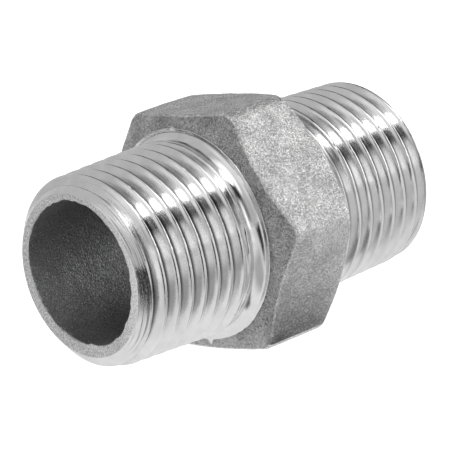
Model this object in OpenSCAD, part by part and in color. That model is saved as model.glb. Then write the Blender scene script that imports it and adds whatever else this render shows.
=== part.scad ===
// Hex nipple: one cast and machined pipe fitting, with a tapered outside thread at each end,
// a hexagon for a wrench in the middle and a straight bore right through.
// The bore's axis is X, two flats of the hexagon are level, and the origin is the centre.

/* [Body] */
// Overall length from end face to end face
total_len = 43; // [42:0.5:60]
// Diameter of the bore that runs right through
bore_d = 15.4; // [10:0.1:16.4]

/* [Hexagon] */
// Distance across the wrench flats
across_flats = 25.5; // [24.5:0.5:32]
// Axial length of the hexagon at its shoulders
hex_len = 10.9; // [9:0.1:12]
// Lean of the hexagon's end faces, back from square to the axis
face_lean = 27; // [0:1:30]
// Radius that rounds the six long corners
corner_r = 0.9; // [0.3:0.1:2]

/* [Thread] */
// Major diameter of the thread at the gauge plane
gauge_d = 20.955; // [20.7:0.005:21.2]
// Distance of the gauge plane from the end face
gauge_len = 8.16; // [6:0.01:10]
// Thread pitch, 14 threads in 25.4 mm
pitch = 1.814; // [1.6:0.001:1.9]
// Included angle between the thread's flanks
flank_angle = 55; // [55:1:60]
// Change of diameter for each millimetre of length
taper = 0.0625; // [0:0.0025:0.0625]

/* [Ends and shoulders] */
// Outer diameter of the flat ring on each end face
face_d = 17.4; // [17:0.1:18]
// Length of the plain neck between the thread and the shoulder
neck_len = 1; // [0.6:0.1:1.4]
// Diameter of the plain neck
neck_d = 20.6; // [20:0.1:20.8]
// Diameter of the shoulder where it meets the hexagon
shoulder_d = 23; // [22:0.1:23.6]
// Axial length of the sloping shoulder
shoulder_len = 0.4; // [0.2:0.1:1]

/* [Hidden] */
$fn = 96;

spigot_len = (total_len - hex_len) / 2;
thread_end = spigot_len - neck_len - shoulder_len;
end_r = gauge_d / 2 - gauge_len * taper / 2;
height_in_pitches = 0.640327;
thread_h = height_in_pitches * pitch;
flank_w = thread_h * tan(flank_angle / 2);
flat_w = pitch / 2 - flank_w;
fade_len = pitch / 2;
// Segments round one turn, and full turns in the swept thread
turn_segs = 48;
turns = ceil(thread_end / pitch) + 2;
// Axial places of the profile's corners in one pitch, and which of them are at the root
profile_z = [0, flat_w, flat_w + flank_w, 2 * flat_w + flank_w];
profile_root = [1, 1, 0, 0];
corners = len(profile_z);
columns = corners * turns;
cap_gap = 1;
chamfer_reach = 3;
eps = 0.5;

// Radius of the thread's crest at a distance z from the end face
function crest_r(z) = end_r + z * taper / 2;
// Share of the full depth that is left at z, as the thread runs out before the neck
function run_out(z) = max(0, min(1, (thread_end - z) / fade_len));
// Height along the helix of profile corner k at segment j
function helix_z(j, k) =
    (floor(k / corners) + j / turn_segs - 1) * pitch + profile_z[k % corners];
function helix_r(z, root) = crest_r(z) - root * thread_h * run_out(z);
function helix_point(j, k) =
    let (z = helix_z(j, k), r = helix_r(z, profile_root[k % corners]), a = 360 * j / turn_segs)
    [r * cos(a), r * sin(a), z];
// Index of a point, where a full turn leads on to the next pitch
function at(j, k) = j < turn_segs ? j * (columns + 1) + k : k + corners;

// A solid screw with a right-hand thread along Z, longer at both ends than the finished thread
module screw() {
    last = turn_segs - 1;
    side_points = [for (j = [0:last]) for (k = [0:columns]) helix_point(j, k)];
    front = len(side_points);
    back = front + 1;
    points = concat(side_points,
        [[0, 0, -pitch - cap_gap], [0, 0, helix_z(turn_segs, columns) + cap_gap]]);
    side_faces = [
        for (j = [0:last])
            for (k = [0:columns - 1 - (j == last ? corners : 0)])
                for (half = [0, 1])
                    half == 0
                        ? [at(j, k), at(j, k + 1), at(j + 1, k + 1)]
                        : [at(j, k), at(j + 1, k + 1), at(j + 1, k)]];
    front_rim = concat([for (j = [0:last]) at(j, 0)], [for (k = [corners:-1:1]) at(0, k)]);
    back_rim = concat([for (j = [0:last]) at(j, columns)],
        [for (k = [columns - 1:-1:columns - corners]) at(last, k)]);
    front_faces = [for (i = [0:len(front_rim) - 1])
        [front, front_rim[i], front_rim[(i + 1) % len(front_rim)]]];
    back_faces = [for (i = [0:len(back_rim) - 1])
        [back, back_rim[(i + 1) % len(back_rim)], back_rim[i]]];
    polyhedron(points, concat(side_faces, front_faces, back_faces));
}

// Everything the turned blank may hold: the end face, the lead-in chamfer and the thread's length
module thread_envelope() {
    rotate_extrude()
        polygon([[0, 0], [face_d / 2, 0], [face_d / 2 + chamfer_reach, chamfer_reach],
            [face_d / 2 + chamfer_reach, thread_end], [0, thread_end]]);
}

// Plain neck behind the thread, and the shoulder that slopes up to the hexagon
module neck_and_shoulder() {
    rotate_extrude()
        polygon([[0, thread_end], [neck_d / 2, thread_end],
            [neck_d / 2, thread_end + neck_len], [shoulder_d / 2, spigot_len], [0, spigot_len]]);
}

// One threaded end along +Z, with its end face at z = 0
module threaded_end() {
    difference() {
        union() {
            intersection() {
                screw();
                thread_envelope();
            }
            neck_and_shoulder();
        }
        translate([0, 0, -eps])
            cylinder(d = bore_d, h = spigot_len + 2 * eps);
    }
}

// Places a threaded end on the bore's axis, facing the hexagon
module at_end_a() {
    translate([-total_len / 2, 0, 0])
        rotate([0, 90, 0])
            children();
}

// Six-sided prism with rounded corners, its flats at plus and minus Z
module hex_prism() {
    inner_r = (across_flats / 2 - corner_r) / cos(30);
    rotate([0, 90, 0])
        linear_extrude(hex_len, center = true)
            hull()
                for (i = [0:5])
                    rotate(60 * i + 30)
                        translate([inner_r, 0])
                            circle(corner_r, $fn = 32);
}

// Body of revolution that leans the hexagon's end faces back
module hex_envelope() {
    flat_r = shoulder_d / 2;
    outer_r = across_flats;
    drop = (outer_r - flat_r) * tan(face_lean);
    rotate([0, 90, 0])
        rotate_extrude()
            polygon([[0, -hex_len / 2], [flat_r, -hex_len / 2],
                [outer_r, drop - hex_len / 2], [outer_r, hex_len / 2 - drop],
                [flat_r, hex_len / 2], [0, hex_len / 2]]);
}

module threaded_end_a() {
    color("silver")
        at_end_a()
            threaded_end();
}

module threaded_end_b() {
    color("silver")
        rotate([0, 0, 180])
            at_end_a()
                threaded_end();
}

module hex_body() {
    color("gray")
        difference() {
            intersection() {
                hex_prism();
                hex_envelope();
            }
            rotate([0, 90, 0])
                cylinder(d = bore_d, h = hex_len + 2 * eps, center = true);
        }
}

threaded_end_a();
hex_body();
threaded_end_b();
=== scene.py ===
"""Hex nipple: a steel casting with two machined, threaded ends, lying on a wrench flat."""
import math

import bpy
import numpy as np
from mathutils import Matrix, Vector


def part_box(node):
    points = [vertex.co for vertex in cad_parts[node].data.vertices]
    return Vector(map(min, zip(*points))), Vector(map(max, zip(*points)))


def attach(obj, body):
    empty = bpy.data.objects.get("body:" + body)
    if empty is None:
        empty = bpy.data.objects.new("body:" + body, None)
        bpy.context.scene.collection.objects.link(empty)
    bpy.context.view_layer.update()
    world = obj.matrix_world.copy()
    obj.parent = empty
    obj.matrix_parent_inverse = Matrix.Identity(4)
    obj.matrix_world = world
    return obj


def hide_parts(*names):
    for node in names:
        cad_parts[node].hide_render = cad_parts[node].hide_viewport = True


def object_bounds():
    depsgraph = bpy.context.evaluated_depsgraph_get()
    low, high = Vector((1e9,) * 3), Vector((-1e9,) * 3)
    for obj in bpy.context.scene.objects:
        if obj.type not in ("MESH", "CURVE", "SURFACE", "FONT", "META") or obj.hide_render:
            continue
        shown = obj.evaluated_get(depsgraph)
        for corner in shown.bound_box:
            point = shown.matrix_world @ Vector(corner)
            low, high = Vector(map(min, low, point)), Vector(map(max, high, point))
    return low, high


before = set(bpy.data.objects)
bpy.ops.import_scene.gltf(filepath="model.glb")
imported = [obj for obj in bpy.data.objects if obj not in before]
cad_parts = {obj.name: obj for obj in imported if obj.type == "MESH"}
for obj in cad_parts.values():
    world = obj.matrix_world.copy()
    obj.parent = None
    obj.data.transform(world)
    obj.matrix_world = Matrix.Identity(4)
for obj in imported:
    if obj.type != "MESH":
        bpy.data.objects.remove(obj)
cad_low, cad_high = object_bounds()

# ------------------------------------------------------------------ driving sizes, in millimetres
MM = 0.001
NEAR_NODE, HEX_NODE, FAR_NODE = "threaded_end_a", "hex_body", "threaded_end_b"


def node_box(name):
    """Lowest and highest corner of a CAD node, in millimetres."""
    low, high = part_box(name)
    return [c / MM for c in low], [c / MM for c in high]


hex_low, hex_high = node_box(HEX_NODE)
end_low, end_high = node_box(NEAR_NODE)
TOTAL_LEN = (cad_high[0] - cad_low[0]) / MM
HEX_LEN = hex_high[0] - hex_low[0]
ACROSS_FLATS = hex_high[2] - hex_low[2]
SPIGOT_LEN = end_high[0] - end_low[0]
SHOULDER_R = end_high[2]
FLOOR_Z = hex_low[2]

# Half-inch taper pipe thread, with the standard's rounded crests and roots
PITCH = 1.814
TAPER = 1 / 16
GAUGE_R, GAUGE_LEN = 20.955 / 2, 8.16
END_CREST_R = GAUGE_R - GAUGE_LEN * TAPER / 2
HALF_FLANK = math.radians(27.5)
THREAD_H = 0.640327 * PITCH
ROUND_R = 0.137329 * PITCH
# Distance from the end face to the crest at local angle 0
CREST_START = 1.045
NECK_LEN = 1.0
SHOULDER_LEN = 0.4
THREAD_END = SPIGOT_LEN - NECK_LEN - SHOULDER_LEN
FADE_LEN = 0.9

# Radius of the flat end ring, where the 45 degree lead-in chamfer starts
FACE_R = 8.7
CHAMFER_LEN = 1.7
CHAMFER_BLEND = 0.05
NECK_R = 10.3
NECK_FILLET = 1.25
# The cut that forms the neck: where its wall starts, how steep it is, and how round its edge is
NECK_WALL_START = THREAD_END - 0.25
NECK_WALL_SLOPE = 3
NECK_BLEND = 0.12
SHOULDER_SLOPE = math.radians(66)

BORE_R = 7.7
# The cored bore sits a little off the turned ends' axis, towards this angle round it
BORE_SHIFT = 0.33
BORE_SHIFT_ANGLE = math.radians(21)

# The hexagon's end faces lean back by this angle, and start at this radius
FACE_LEAN = math.radians(27)
LEAN_START_R = SHOULDER_R - 0.15
# Over this length at each end, which holds the leaning faces, the hexagon's rings are closer
FINE_LEN = 2.6
CORNER_R = 1.9
EDGE_BLEND = 0.28

# The mould's parting plane is Y = 0, so its marks are at these angles from +Z
PARTING_ANGLES = (0.0, math.pi)
# Where the cut shoulder meets the parting line, a thin nib of metal is left
NIB_HEIGHTS = (0.3, 0.6)
NIB_HALF_ANGLE = 0.02
RIDGE_HEIGHT = 0.07
RIDGE_HALF_WIDTH = 0.25

# Unevenness of each surface. A layer is (height, size of its lumps, seed)
RIM_LAYERS = ((0.05, 1.3, 11), (0.03, 0.4, 12))
MOUTH_LAYERS = ((0.12, 1.2, 13), (0.09, 0.5, 14))
CAST_LAYERS = ((0.06, 4.0, 1), (0.03, 1.3, 2), (0.014, 0.6, 3), (0.016, 0.34, 4))
BORE_LAYERS = ((0.05, 2.2, 5), (0.025, 0.8, 6), (0.012, 0.4, 7))
FACE_LAYERS = ((0.006, 0.4, 8),)
TURNED_LAYERS = ((0.0025, 1.1, 9),)
# Nicks are this noise where it is over a limit, times a depth
NICK_LAYERS = ((1.0, 0.4, 10),)
NICK_LIMIT = 0.62
NICK_DEPTH = 0.25

# Points in each ring of the mesh
TURN_SEGS = 320
HEX_SEGS = 720


# ------------------------------------------------------------------ noise
def hashed(i, j, k, seed):
    """A repeatable pseudo-random number from -1 to 1 for each lattice point.

    The large numbers only mix the bits.
    """
    n = (i * 374761393 + j * 668265263 + k * 2147483647 + seed * 974634777) & 0xFFFFFFFF
    n = ((n ^ (n >> 13)) * 1274126177) & 0xFFFFFFFF
    n = n ^ (n >> 16)
    return n.astype(np.float64) / 0x7FFFFFFF - 1.0


def noise(points, size, seed):
    """Smooth value noise from -1 to 1, with lumps about `size` millimetres across."""
    p = points / size
    base = np.floor(p).astype(np.int64)
    f = p - base
    f = f * f * (3 - 2 * f)
    total = 0
    for dx in (0, 1):
        for dy in (0, 1):
            for dz in (0, 1):
                weight = (
                    (f[:, 0] if dx else 1 - f[:, 0])
                    * (f[:, 1] if dy else 1 - f[:, 1])
                    * (f[:, 2] if dz else 1 - f[:, 2])
                )
                corner = (base[:, 0] + dx, base[:, 1] + dy, base[:, 2] + dz)
                total = total + weight * hashed(*corner, seed)
    return total


def layered(points, layers, total=0):
    """Adds layers of noise to a total. Each layer is (height, size of its lumps, seed)."""
    for height, size, seed in layers:
        total = total + height * noise(points, size, seed)
    return total


def circle_points(angle, radius):
    """Points on a circle, where noise joins up with itself after a full turn."""
    return np.stack([radius * np.cos(angle), radius * np.sin(angle), 0 * angle], 1)


# ------------------------------------------------------------------ outlines
# Angles round the X axis are measured from +Z towards -Y.
def smooth_min(a, b, blend):
    """The lower of two values, with the corner between them rounded."""
    h = np.clip(0.5 + 0.5 * (b - a) / blend, 0, 1)
    return b * (1 - h) + a * h - blend * h * (1 - h)


def angle_gap(angle, centre):
    """How far an angle is from a centre, the short way round."""
    return np.abs((angle - centre + math.pi) % (2 * math.pi) - math.pi)


def bore_radius(x, angle):
    """Radius of the cored bore at a place x along the nipple: off centre and slightly lumpy."""
    shift = BORE_SHIFT * np.cos(angle - BORE_SHIFT_ANGLE)
    lumps = 0.05 * np.cos(3 * angle - 1.2) + 0.04 * np.cos(5 * angle + 0.03 * x)
    return BORE_R + shift + lumps


def profile_depth():
    """One pitch of the thread: axial places from the crest, and depth below the crest there."""
    arc = np.linspace(0, math.pi / 2 - HALF_FLANK, 4)
    crest_a = np.sin(arc) * ROUND_R
    crest_d = ROUND_R - np.cos(arc) * ROUND_R
    root_a = PITCH / 2 - crest_a[::-1]
    root_d = THREAD_H - crest_d[::-1]
    along = np.linspace(0, 1, 6)[1:-1]
    flank_a = crest_a[-1] + along * (root_a[0] - crest_a[-1])
    flank_d = crest_d[-1] + along * (root_d[0] - crest_d[-1])
    side_a = np.concatenate([crest_a, flank_a, root_a])
    side_d = np.concatenate([crest_d, flank_d, root_d])
    return (
        np.concatenate([-side_a[:0:-1], side_a[:-1]]),
        np.concatenate([side_d[:0:-1], side_d[:-1]]),
    )


def thread_radius(z, depth):
    """Outer radius of a turned end: crest cone less depth, cut by the neck and the chamfer."""
    left = np.clip((THREAD_END - z) / FADE_LEN, 0, 1)
    crest = END_CREST_R + z * TAPER / 2
    r = crest - depth * left
    neck_wall = NECK_R + np.maximum(0, NECK_WALL_START - z) * NECK_WALL_SLOPE
    r = np.minimum(r, smooth_min(crest, neck_wall, NECK_BLEND))
    return smooth_min(r, FACE_R + z, CHAMFER_BLEND)


def hex_radius(angle):
    """Polar radius of the hexagon, its flats at angle 0, 60, 120 and its corners rounded."""
    sixth = math.pi / 3
    a = np.abs((angle + sixth / 2) % sixth - sixth / 2)
    flat = ACROSS_FLATS / 2
    centre = (flat - CORNER_R) / math.cos(sixth / 2)
    off = sixth / 2 - a
    across = centre * np.sin(off)
    arc = centre * np.cos(off) + np.sqrt(np.maximum(CORNER_R**2 - across**2, 0))
    on_corner = flat * np.tan(a) > centre * math.sin(sixth / 2)
    return np.where(on_corner, arc, flat / np.cos(a))


# ------------------------------------------------------------------ mesh building
class Grid:
    """Points and faces of one closed piece, built up from rings round the X axis."""

    def __init__(self, segs):
        self.segs = segs
        self.points = []
        self.count = 0
        self.faces = []
        self.zones = []

    def add_points(self, points):
        """Adds points and returns the first one's number."""
        first = self.count
        self.points.append(points)
        self.count += len(points)
        return first

    def add_ring(self, x, radius, angle):
        """Adds a ring of points and returns their numbers."""
        r = np.broadcast_to(radius, angle.shape)
        along = np.broadcast_to(x, angle.shape)
        points = np.stack([along, -r * np.sin(angle), r * np.cos(angle)], 1)
        return self.add_points(points) + np.arange(self.segs)

    def join(self, one, two, zone):
        """Joins two rings with quads. zone is one material slot, or one for each quad."""
        one_next, two_next = np.roll(one, -1), np.roll(two, -1)
        quads = np.stack([one, one_next, two_next, two], 1)
        self.add_faces(quads.tolist(), zone)

    def add_faces(self, faces, zone):
        """Adds faces. zone is one material slot, or one for each face."""
        self.faces.extend(faces)
        self.zones.extend(np.broadcast_to(zone, len(faces)).tolist())

    def all_points(self):
        """Every point, in order of number."""
        return np.concatenate(self.points)


def make_object(name, grid, relief, materials):
    """Makes the mesh, pushes its points out along their normals by relief(points), and links it.

    relief gives one height in millimetres for each point.
    """
    points = grid.all_points()
    used = np.unique(np.fromiter((v for face in grid.faces for v in face), int))
    renumber = np.full(len(points), -1)
    renumber[used] = np.arange(len(used))
    points = points[used]
    faces = [[int(renumber[v]) for v in face] for face in grid.faces]
    mesh = bpy.data.meshes.new(name)
    mesh.from_pydata((points * MM).tolist(), [], faces)
    mesh.update()
    normals = np.zeros(len(points) * 3)
    mesh.vertex_normals.foreach_get("vector", normals)
    pushed = points + normals.reshape(-1, 3) * relief(points)[:, None]
    mesh.vertices.foreach_set("co", (pushed * MM).ravel())
    mesh.polygons.foreach_set("material_index", grid.zones)
    for mat in materials:
        mesh.materials.append(mat)
    mesh.update()
    mesh.shade_smooth()
    ob = bpy.data.objects.new(name, mesh)
    bpy.context.scene.collection.objects.link(ob)
    return ob


# Numbers of the material slots on every piece
MACHINED, CAST, BORE, FACE, LEAN = range(5)


def end_grid(side):
    """One threaded end. side is -1 for the near end, at low X, and +1 for the far end."""
    grid = Grid(TURN_SEGS)
    local = np.arange(TURN_SEGS) / TURN_SEGS * 2 * math.pi
    angle = local - math.pi if side < 0 else math.pi - local

    def x_at(z):
        """World place of a distance z from the end face."""
        return side * (TOTAL_LEN / 2 - z)

    # The thread: columns of points that run along the helix, held between two rings, which
    # are at these distances from the end face
    z_front, z_back = 0.12, THREAD_END + 0.1
    hair = 1e-9
    offsets, depths = profile_depth()
    per_turn = len(offsets)
    turns = math.ceil(z_back / PITCH) + 2
    k = np.arange(per_turn * turns + 1)
    helix_z = CREST_START + (k // per_turn - 2) * PITCH + offsets[k % per_turn]
    z = helix_z[None, :] + (local / (2 * math.pi) * PITCH)[:, None]
    z = np.clip(z, z_front, z_back)
    depth = np.broadcast_to(depths[k % per_turn][None, :], z.shape)
    r = thread_radius(z, depth)
    at_front, at_back = z <= z_front + hair, z >= z_back - hair
    r[at_front] = thread_radius(z_front, 0)
    r[at_back] = thread_radius(z_back, 0)
    round_x = angle[:, None]
    points = np.stack([x_at(z), -r * np.sin(round_x), r * np.cos(round_x)], 2)
    grid.add_points(points.reshape(-1, 3))
    number = np.arange(z.size).reshape(z.shape)
    rows = np.arange(TURN_SEGS)
    front = number[rows, at_front.cumsum(1).argmax(1)]
    back = number[rows, at_back.argmax(1)]
    number = np.where(at_front, front[:, None], number)
    number = np.where(at_back, back[:, None], number)
    # After a full turn a column goes on as the one a pitch further along
    wrapped = np.concatenate([number[0, per_turn:], np.full(per_turn, back[0])])
    following = np.concatenate([number[1:], wrapped[None, :]])
    thread_faces = []
    for row, after in zip(number.tolist(), following.tolist()):
        for c in range(len(row) - 1):
            corners = [row[c], after[c], after[c + 1], row[c + 1]]
            kept = [v for n, v in enumerate(corners) if v != corners[n - 1]]
            if len(kept) > 2:
                thread_faces.append(kept)
    grid.add_faces(thread_faces, MACHINED)

    # Neck, fillet and shoulder, whose rim is uneven where the cut ends on the cast face
    arc_end = SPIGOT_LEN - 0.1
    arc_start = arc_end - NECK_FILLET * math.sin(SHOULDER_SLOPE)
    profile = [(NECK_R, arc_start)]
    for a in np.linspace(0, SHOULDER_SLOPE, 9)[1:]:
        profile.append((
            NECK_R + NECK_FILLET * (1 - math.cos(a)),
            arc_start + NECK_FILLET * math.sin(a),
        ))
    rim = layered(circle_points(angle, SHOULDER_R), RIM_LAYERS, SHOULDER_R)
    for parting, height in zip(PARTING_ANGLES, NIB_HEIGHTS):
        rim = rim + height * np.exp(-((angle_gap(angle, parting) / NIB_HALF_ANGLE) ** 2))
    # From the fillet a cone runs out to just short of the rim
    fillet_r, fillet_z = profile[-1]
    for t in np.linspace(0, 1, 6)[1:]:
        profile.append((
            fillet_r + t * (rim - 0.04 - fillet_r),
            fillet_z + t * (SPIGOT_LEN - 0.05 - fillet_z),
        ))
    profile.append((rim, SPIGOT_LEN))
    previous = back
    for radius, z_ring in profile:
        now = grid.add_ring(x_at(z_ring), radius, angle)
        grid.join(previous, now, MACHINED)
        previous = now

    # Back face against the hexagon, then the bore, its uneven mouth and the flat end ring
    for s in np.linspace(SPIGOT_LEN, 0.1, 72):
        now = grid.add_ring(x_at(s), bore_radius(x_at(s), angle), angle)
        grid.join(previous, now, BORE)
        previous = now
    mouth = bore_radius(x_at(0), angle)
    mouth = layered(circle_points(angle, BORE_R), MOUTH_LAYERS, mouth)
    # The mouth's edge and the ring's outer edge are broken by tiny bevels
    face_profile = [(mouth - 0.01, 0.05), (mouth + 0.03, 0.0)]
    for t in np.linspace(0, 1, 8)[1:]:
        face_profile.append((mouth + 0.03 + t * (FACE_R - 0.07 - mouth), 0.0))
    for radius, z_ring in face_profile:
        now = grid.add_ring(x_at(z_ring), radius, angle)
        grid.join(previous, now, FACE)
        previous = now
    now = grid.add_ring(x_at(0.03), FACE_R + 0.01, angle)
    grid.join(previous, now, MACHINED)
    grid.join(now, front, MACHINED)
    return grid


def hex_grid():
    """The cast hexagon, with its faces leaning back and a length of the bore through it."""
    grid = Grid(HEX_SEGS)
    angle = np.arange(HEX_SEGS) / HEX_SEGS * 2 * math.pi
    half = HEX_LEN / 2
    outline = hex_radius(angle)
    stations = np.concatenate([
        np.linspace(-half, FINE_LEN - half, 34),
        np.linspace(FINE_LEN - half, half - FINE_LEN, 42)[1:-1],
        np.linspace(half - FINE_LEN, half, 34),
    ])
    first = previous = None
    for x in stations:
        cone = LEAN_START_R + (half - abs(x)) / math.tan(FACE_LEAN)
        now = grid.add_ring(x, smooth_min(outline, cone, EDGE_BLEND), angle)
        zone = np.where(cone < outline - EDGE_BLEND / 2, LEAN, CAST)
        if previous is None:
            first = now
        else:
            grid.join(previous, now, zone)
        previous = now
    for x in np.linspace(half, -half, 12):
        now = grid.add_ring(x, bore_radius(x, angle), angle)
        grid.join(previous, now, BORE)
        previous = now
    grid.join(previous, first, BORE)
    return grid


def cast_relief(points):
    """Height of the as-cast skin: slow waves, shot-blasted grain and the parting ridges."""
    radius = np.hypot(points[:, 1], points[:, 2])
    outside = np.clip((radius - SHOULDER_R) / 0.4, 0, 1)
    skin = layered(points, CAST_LAYERS)
    angle = np.arctan2(-points[:, 1], points[:, 2])
    ridge = 0
    for parting in PARTING_ANGLES:
        across = angle_gap(angle, parting) * radius
        ridge = ridge + RIDGE_HEIGHT * np.exp(-((across / RIDGE_HALF_WIDTH) ** 2))
    # The ridges fade out towards the wrench flats
    fade = 0.5
    ridge = ridge * np.clip((ACROSS_FLATS / 2 - fade - radius) / fade, 0, 1)
    in_bore = radius < BORE_R + 0.8
    return np.where(in_bore, 0, outside * (skin + ridge))


def end_relief(points):
    """Grain of the cored bore, and the slight waves and nicks of the turned skin."""
    radius = np.hypot(points[:, 1], points[:, 2])
    from_end = TOTAL_LEN / 2 - np.abs(points[:, 0])
    in_bore = (radius < BORE_R + 0.6) & (from_end > 0.09)
    on_face = from_end < 0.01
    # Nicks are where one noise is near its highest, and only on the thread's crests
    nicks = np.clip(layered(points, NICK_LAYERS) - NICK_LIMIT, 0, 0.3)
    on_crest = radius > END_CREST_R + from_end * TAPER / 2 - 0.03
    on_thread = on_crest & (from_end > CHAMFER_LEN - 0.2) & (from_end < THREAD_END)
    turned = layered(points, TURNED_LAYERS) - np.where(on_thread, NICK_DEPTH * nicks, 0)
    skin = np.where(on_face, layered(points, FACE_LAYERS), turned)
    return np.where(in_bore, layered(points, BORE_LAYERS), skin)


# ------------------------------------------------------------------ materials
WHITE = (1, 1, 1, 1)
BLACK = (0, 0, 0, 1)


class Nodes:
    """Short forms for the shader nodes of one material."""

    def __init__(self, name):
        self.mat = bpy.data.materials.new(name)
        self.mat.use_nodes = True
        self.tree = self.mat.node_tree
        self.shader = self.tree.nodes["Principled BSDF"]

    def add(self, kind, settings=None, **inputs):
        """Adds a node. settings are its own values, inputs are numbers or sockets by name."""
        node = self.tree.nodes.new(kind)
        for key, value in (settings or {}).items():
            setattr(node, key, value)
        for key, value in inputs.items():
            self.feed(node.inputs[key.replace("_", " ")], value)
        return node

    def feed(self, socket, value):
        """Links a socket to an input, or sets the input to a number or colour."""
        if isinstance(value, bpy.types.NodeSocket):
            self.tree.links.new(value, socket)
        else:
            socket.default_value = value

    def surface(self, **inputs):
        """Feeds the shader's own inputs by name."""
        for key, value in inputs.items():
            self.feed(self.shader.inputs[key.replace("_", " ")], value)

    def math(self, operation, *values):
        node = self.add("ShaderNodeMath", {"operation": operation})
        for socket, value in zip(node.inputs, values):
            self.feed(socket, value)
        return node.outputs[0]

    def noise(self, vector, scale, detail=2.0, roughness=0.5):
        node = self.add(
            "ShaderNodeTexNoise", Vector=vector, Scale=scale, Detail=detail, Roughness=roughness
        )
        return node.outputs["Fac"]

    def remap(self, value, low, high, to_low, to_high):
        """Turns low..high into to_low..to_high, and holds what lies beyond at the ends."""
        node = self.add("ShaderNodeMapRange", Value=value)
        for n, number in enumerate((low, high, to_low, to_high), 1):
            node.inputs[n].default_value = number
        return node.outputs[0]

    def grey(self, value):
        """A grey colour from one number."""
        return self.add("ShaderNodeCombineColor", Red=value, Green=value, Blue=value).outputs[0]

    def bump(self, height, distance):
        """A surface normal from a height, whose full range stands for a distance in metres."""
        return self.add("ShaderNodeBump", Height=height, Distance=distance).outputs[0]

    def place(self):
        """Place on the object in millimetres."""
        source = self.add("ShaderNodeTexCoord").outputs["Object"]
        scaled = self.add("ShaderNodeVectorMath", {"operation": "SCALE"})
        self.feed(scaled.inputs[0], source)
        scaled.inputs["Scale"].default_value = 1 / MM
        return scaled.outputs[0]

    def turned_place(self, place, stretch):
        """Coordinates that run along the thread: slow round the axis, quick across the lines."""
        parts = self.add("ShaderNodeSeparateXYZ", Vector=place).outputs
        outward = self.math("MULTIPLY", parts["Y"], -1.0)
        angle = self.math("ARCTAN2", outward, parts["Z"])
        lead = self.math("MULTIPLY", angle, PITCH / (2 * math.pi))
        along = self.math("SUBTRACT", parts["X"], lead)
        slow = self.math("MULTIPLY", angle, stretch)
        joined = self.add("ShaderNodeCombineXYZ", X=along, Y=self.radius(parts), Z=slow)
        return joined.outputs[0]

    def radius(self, parts):
        """Distance from the nipple's axis, given the parts of a place."""
        squares = self.math("MULTIPLY", parts["Y"], parts["Y"])
        squares = self.math("MULTIPLY_ADD", parts["Z"], parts["Z"], squares)
        return self.math("SQRT", squares)


def machined_material():
    """Turned stainless steel: bright, with fine lines that run round with the thread."""
    n = Nodes("machined")
    place = n.place()
    lines_at = n.turned_place(place, 1.2)
    coarse = n.noise(lines_at, 5.0, 3.0, 0.6)
    fine = n.noise(lines_at, 22.0, 2.0, 0.6)
    patches = n.noise(place, 0.5, 3.0)
    parts = n.add("ShaderNodeSeparateXYZ", Vector=place).outputs
    from_end = n.math("SUBTRACT", TOTAL_LEN / 2, n.math("ABSOLUTE", parts["X"]))
    # Painted shade: past the chamfer, the thread's roots are painted dark, where shade falls deep
    # in the grooves
    crest = n.math("MULTIPLY_ADD", from_end, TAPER / 2, END_CREST_R)
    depth = n.math("SUBTRACT", crest, n.radius(parts))
    root = n.remap(depth, 0.8, 1.05, 0.0, 0.8)
    past_chamfer = n.math("GREATER_THAN", from_end, CHAMFER_LEN - 0.1)
    kept = n.math("SUBTRACT", 1.0, n.math("MULTIPLY", root, past_chamfer))
    # Painted reflection: dark streaks that run with the tool lines are painted only on the
    # chamfer's side towards -Y, standing in for a dark reflection there
    painted_dark_streaks = n.noise(n.turned_place(place, 0.12), 7.0, 2.0, 0.6)
    painted_dark_streaks = n.remap(painted_dark_streaks, 0.5, 0.62, 0.0, 0.6)
    on_chamfer = n.remap(from_end, CHAMFER_LEN, CHAMFER_LEN + 0.1, 1.0, 0.0)
    painted_dark_streaks = n.math("MULTIPLY", painted_dark_streaks, on_chamfer)
    painted_dark_side = n.remap(parts["Y"], -0.5 * FACE_R, -0.9 * FACE_R, 0.0, 1.0)
    painted_dark_streaks = n.math("MULTIPLY", painted_dark_streaks, painted_dark_side)
    kept = n.math("MULTIPLY", kept, n.math("SUBTRACT", 1.0, painted_dark_streaks))
    tone = n.math("MULTIPLY", n.remap(patches, 0.3, 0.7, 0.74, 0.84), kept)
    height = n.math("MULTIPLY_ADD", coarse, 0.6, n.math("MULTIPLY", fine, 0.4))
    # The lead-in chamfer was turned with a coarser feed than the thread
    feed = n.remap(from_end, CHAMFER_LEN, CHAMFER_LEN + 0.2, 3.4, 1.0)
    height = n.math("MULTIPLY", height, feed)
    # The lines blur what is reflected across them, not along them
    around = n.add("ShaderNodeTangent", {"direction_type": "RADIAL", "axis": "X"})
    n.surface(
        Base_Color=n.grey(tone),
        Metallic=1.0,
        Roughness=n.remap(coarse, 0.3, 0.7, 0.09, 0.2),
        Normal=n.bump(height, 0.01 * MM),
        Tangent=around.outputs[0],
        Anisotropic=0.6,
        Anisotropic_Rotation=0.25,
    )
    return n.mat


def cast_material(name, dark, light, rough, depth):
    """As-cast stainless steel. dark and light are its tones, and depth is its grain's, in mm."""
    n = Nodes(name)
    place = n.place()
    grain = n.noise(place, 3.6, 2.0, 0.6)
    fine = n.noise(place, 8.5, 2.0, 0.6)
    slow = n.noise(place, 0.35, 2.0)
    both = n.math("MULTIPLY_ADD", grain, 0.42, n.math("MULTIPLY", fine, 0.58))
    tone = n.math("MULTIPLY_ADD", slow, 0.2, n.math("MULTIPLY", both, 0.8))
    n.surface(
        Base_Color=n.grey(n.remap(tone, 0.4, 0.6, dark, light)),
        Metallic=1.0,
        Roughness=n.remap(fine, 0.35, 0.65, rough + 0.06, rough - 0.06),
        Normal=n.bump(both, depth * MM),
    )
    return n.mat


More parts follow.
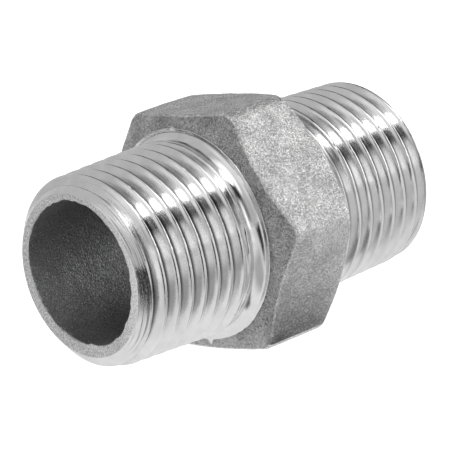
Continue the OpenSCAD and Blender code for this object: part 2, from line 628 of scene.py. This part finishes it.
def bore_material():
    """The cored bore: dull cast skin with small bright specks; part of its darkness is painted
    shade for the inside of the bore.
    """
    n = Nodes("cored_bore_painted_shade")
    place = n.place()
    grain = n.noise(place, 4.6, 2.0, 0.65)
    specks = n.noise(place, 7.0, 1.0)
    # Painted shade: these low tones stand in, in part, for the shade deep inside the bore
    tone = n.remap(grain, 0.35, 0.65, 0.32, 0.52)
    tone = n.math("ADD", tone, n.remap(specks, 0.64, 0.7, 0.0, 0.6))
    n.surface(
        Base_Color=n.grey(tone),
        Metallic=1.0,
        Roughness=n.remap(grain, 0.3, 0.7, 0.55, 0.36),
        Normal=n.bump(grain, 0.09 * MM),
    )
    return n.mat


def face_material():
    """The end ring: cut square and left dull, with a fine sandy grain."""
    n = Nodes("end_face")
    place = n.place()
    grain = n.noise(place, 7.5, 3.0, 0.65)
    # Painted light: the ring is made up to half as bright again towards -Y, standing in for light
    # that falls on that side
    across = n.add("ShaderNodeSeparateXYZ", Vector=place).outputs["Y"]
    painted_light_side = n.remap(across, -FACE_R, -FACE_R / 2, 1.5, 1.0)
    tone = n.math("MULTIPLY", n.remap(grain, 0.38, 0.62, 0.4, 0.94), painted_light_side)
    n.surface(
        Base_Color=n.grey(tone),
        Metallic=1.0,
        Roughness=n.remap(grain, 0.3, 0.7, 0.5, 0.35),
        Normal=n.bump(grain, 0.16 * MM),
    )
    return n.mat


def floor_material():
    """A plain pale table that glows a little, so that it stays white."""
    n = Nodes("table")
    n.surface(
        Base_Color=(0.5, 0.5, 0.5, 1),
        Roughness=1.0,
        Specular_IOR_Level=0.0,
        Emission_Color=WHITE,
        Emission_Strength=0.9,
    )
    return n.mat


# ------------------------------------------------------------------ the object
skins = [
    machined_material(),
    cast_material("cast_flats", 0.4, 0.9, 0.21, 0.26),
    bore_material(),
    face_material(),
    # Painted shade: the leaning faces take a darker-toned copy of the flats' cast steel, for the
    # shade on them
    cast_material("cast_leaning_faces_painted_shade", 0.19, 0.7, 0.32, 0.44),
]
near_end = make_object("near_end", end_grid(-1), end_relief, skins)
far_end = make_object("far_end", end_grid(1), end_relief, skins)
hexagon = make_object("cast_hexagon", hex_grid(), cast_relief, skins)
for piece, node, slot in (
    (near_end, NEAR_NODE, "machined_steel"),
    (far_end, FAR_NODE, "machined_steel"),
    (hexagon, HEX_NODE, "cast_steel"),
):
    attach(piece, "root")
    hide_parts(node)

# ------------------------------------------------------------------ floor and light
# In metres: half the floor's side, and how far off the lamps and the standing cards are
FLOOR_HALF = 1.5
LAMP_DISTANCE = 1.2
FLAG_DISTANCE = 1.0
# A card is a net of this many steps each way
CARD_STEPS = 12
# A soft card fades out over this many steps at each edge
FADE_STEPS = 3


def direction(azimuth, elevation):
    """Unit vector; azimuth is measured from -Y towards +X, in degrees."""
    a, e = math.radians(azimuth), math.radians(elevation)
    return Vector((math.sin(a) * math.cos(e), -math.cos(a) * math.cos(e), math.sin(e)))


def stage_mesh(name, points, faces, mat):
    """A floor or a card of the studio, which isn't part of the object."""
    mesh = bpy.data.meshes.new(name)
    mesh.from_pydata(points, [], faces)
    mesh.materials.append(mat)
    ob = bpy.data.objects.new(name, mesh)
    bpy.context.scene.collection.objects.link(ob)
    return ob


def make_floor():
    """The table that the nipple lies on."""
    s, z = FLOOR_HALF, FLOOR_Z * MM
    corners = [(-s, -s, z), (s, -s, z), (s, s, z), (-s, s, z)]
    stage_mesh("floor", corners, [(0, 1, 2, 3)], floor_material())


def softbox(name, azimuths, elevations, radiance):
    """A rectangular lamp that faces the object and fills a range of directions, in degrees."""
    azimuth, elevation = sum(azimuths) / 2, sum(elevations) / 2
    half_wide = math.radians(azimuths[1] - azimuths[0]) / 2 * math.cos(math.radians(elevation))
    half_high = math.radians(elevations[1] - elevations[0]) / 2
    lamp = bpy.data.lights.new(name, "AREA")
    lamp.shape = "RECTANGLE"
    lamp.size = 2 * LAMP_DISTANCE * math.tan(half_wide)
    lamp.size_y = 2 * LAMP_DISTANCE * math.tan(half_high)
    lamp.energy = radiance * math.pi * lamp.size * lamp.size_y
    away = direction(azimuth, elevation)
    ob = bpy.data.objects.new(name, lamp)
    facing = away.to_track_quat("Z", "Y").to_matrix().to_4x4()
    ob.matrix_world = Matrix.Translation(away * LAMP_DISTANCE) @ facing
    bpy.context.scene.collection.objects.link(ob)


def widened(low, high):
    """Moves two limits apart, so that a soft card is half faded at the limits that were asked."""
    margin = (high - low) / (CARD_STEPS / FADE_STEPS - 1) / 2
    return low - margin, high + margin


def between(limits, t):
    """The value at t between two limits, for t from 0 to 1."""
    return limits[0] + (limits[1] - limits[0]) * t


def card(name, radiance, soft, place):
    """A card that only shows in reflections, as the gaps between a studio's lamps do; lying on
    the floor, it is painted shade.

    place(u, v) gives its points, for u and v from 0 to 1.
    """
    points, cover, faces = [], [], []
    for i in range(CARD_STEPS + 1):
        for j in range(CARD_STEPS + 1):
            points.append(place(i / CARD_STEPS, j / CARD_STEPS))
            from_edge = min(i, j, CARD_STEPS - i, CARD_STEPS - j)
            cover.append(min(1.0, from_edge / FADE_STEPS) if soft else 1.0)
    for i in range(CARD_STEPS):
        for j in range(CARD_STEPS):
            corner = i * (CARD_STEPS + 1) + j
            beyond = corner + CARD_STEPS + 1
            faces.append((corner, corner + 1, beyond + 1, beyond))
    n = Nodes(name)
    n.surface(
        Base_Color=BLACK,
        Specular_IOR_Level=0.0,
        Emission_Color=WHITE,
        Emission_Strength=radiance,
        Alpha=n.add("ShaderNodeAttribute", {"attribute_name": "cover"}).outputs["Fac"],
    )
    ob = stage_mesh(name, points, faces, n.mat)
    ob.data.attributes.new("cover", "FLOAT", "POINT").data.foreach_set("value", cover)
    ob.visible_camera = False
    ob.visible_diffuse = False
    ob.visible_shadow = False


def flag(name, azimuths, elevations, radiance):
    """A soft card that stands round the object, inside the lamps."""
    azimuths, elevations = widened(*azimuths), widened(*elevations)

    def place(u, v):
        return direction(between(azimuths, u), between(elevations, v)) * FLAG_DISTANCE

    card(name, radiance, True, place)


def floor_flag(name, azimuths, reach, radiance, centre, height, soft=True):
    """A card that lies just over the floor, at a height above it: painted shade, which in
    reflections shows the floor dimmer near the object.

    It spans azimuths, in degrees, and distances, called reach, from a centre (x, y). Lengths
    are in millimetres. The distances are spaced by their logarithms.
    """
    start = Vector((centre[0], centre[1], FLOOR_Z + height))
    logs = (math.log(reach[0]), math.log(reach[1]))
    if soft:
        azimuths, logs = widened(*azimuths), widened(*logs)

    def place(u, v):
        return (start + direction(between(azimuths, u), 0) * math.exp(between(logs, v))) * MM

    card(name, radiance, soft, place)


def make_world(ambient, lobes):
    """An even grey studio with soft brighter patches.

    Each patch is (azimuth, elevation, inner angle, outer angle, extra radiance).
    """
    world = bpy.data.worlds.new("studio")
    world.use_nodes = True
    tree = world.node_tree
    ray = tree.nodes.new("ShaderNodeTexCoord").outputs["Generated"]
    total = None
    for azimuth, elevation, inner, outer, radiance in lobes:
        dot = tree.nodes.new("ShaderNodeVectorMath")
        dot.operation = "DOT_PRODUCT"
        tree.links.new(ray, dot.inputs[0])
        dot.inputs[1].default_value = direction(azimuth, elevation)
        soft = tree.nodes.new("ShaderNodeMapRange")
        soft.interpolation_type = "SMOOTHSTEP"
        tree.links.new(dot.outputs["Value"], soft.inputs["Value"])
        soft.inputs["From Min"].default_value = math.cos(math.radians(outer))
        soft.inputs["From Max"].default_value = math.cos(math.radians(inner))
        soft.inputs["To Max"].default_value = radiance
        add = tree.nodes.new("ShaderNodeMath")
        add.inputs[1].default_value = ambient
        tree.links.new(soft.outputs[0], add.inputs[0])
        if total is not None:
            tree.links.new(total, add.inputs[1])
        total = add.outputs[0]
    background = tree.nodes["Background"]
    background.inputs["Color"].default_value = WHITE
    tree.links.new(total, background.inputs["Strength"])
    bpy.context.scene.world = world


make_floor()
make_world(0.55, [
    (-30, 54, 4, 28, 1.0),
    (20, 70, 4, 18, 0.5),
    (-88, 30, 6, 28, 0.35),
    (36, 4, 10, 30, 0.9),
    (60, 32, 4, 18, 1.1),
    (155, 15, 10, 40, 0.05),
])
# Each spans (azimuths), (elevations) or (distances), and then comes its radiance
softbox("key_box", (0, 61), (48.5, 61), 4.2)
softbox("side_box", (60, 95), (0, 20), 2.6)
flag("camera_flag", (-50, -26), (0, 30), 0.5)
flag("under_key_flag", (-15, 45), (29, 48), 0.0)
flag("front_flag", (-15, 15), (8, 29), 0.2)
flag("back_flag", (70, 134), (19, 72), 0.0)
flag("far_back_flag", (130, 155), (36, 60), 0.0)
flag("left_flag", (-150, -92), (-1, 10), 0.0)
flag("neck_flag", (37, 58), (1, 29), 0.05)
# Painted shade: these cards show only in reflections, where they make the glowing floor look
# dimmer, and dark in places, near the object
floor_flag("table_flag", (-180, 180), (0.5, 60), 0.88, (0, 0), 0.1, soft=False)
floor_flag("pale_floor_flag", (-95, 20), (10, 600), 0.72, (-16, -6), 0.2)
floor_flag("right_floor_flag", (18, 95), (6, 600), 0.74, (0, -6), 0.25)
floor_flag("back_floor_flag", (95, 265), (5, 600), 0.72, (-4, 4), 0.2)
floor_flag("grey_floor_flag", (-72, -24), (12, 600), 0.4, (-20, -9), 0.4)
floor_flag("under_flag", (0, 58), (5, 28), 0.45, (-18, -6), 0.5)
floor_flag("dark_floor_flag", (-66, -30), (12, 600), 0.0, (-20, -9), 0.6)
floor_flag("contact_flag", (52, 89), (2, 14), 0.15, (-8, -7), 0.6)

# ------------------------------------------------------------------ camera
AZIMUTH, ELEVATION, ROLL = -42.0094, 11.7663, -10.1768
CAMERA_DISTANCE = 356.698 * MM
# How far to the right of and above the nipple's centre it looks, as the camera sees them
AIM_RIGHT, AIM_UP = -0.3615 * MM, -0.4869 * MM
# In millimetres on the sensor
SENSOR_WIDTH, LENS = 36, 269.375


def make_camera():
    """The camera, rolled a little about the line that it looks along."""
    data = bpy.data.cameras.new("camera")
    data.sensor_width = SENSOR_WIDTH
    data.lens = LENS
    data.clip_start = 10 * MM
    back = direction(AZIMUTH, ELEVATION)
    a, roll = math.radians(AZIMUTH), math.radians(ROLL)
    level_right = Vector((math.cos(a), math.sin(a), 0))
    level_up = back.cross(level_right)
    right = level_right * math.cos(roll) + level_up * math.sin(roll)
    up = back.cross(right)
    aim = right * AIM_RIGHT + up * AIM_UP
    camera = bpy.data.objects.new("camera", data)
    facing = Matrix((right, up, back)).transposed().to_4x4()
    camera.matrix_world = Matrix.Translation(aim + back * CAMERA_DISTANCE) @ facing
    bpy.context.scene.collection.objects.link(camera)
    bpy.context.scene.camera = camera


make_camera()
bpy.context.scene.view_settings.view_transform = "Standard"
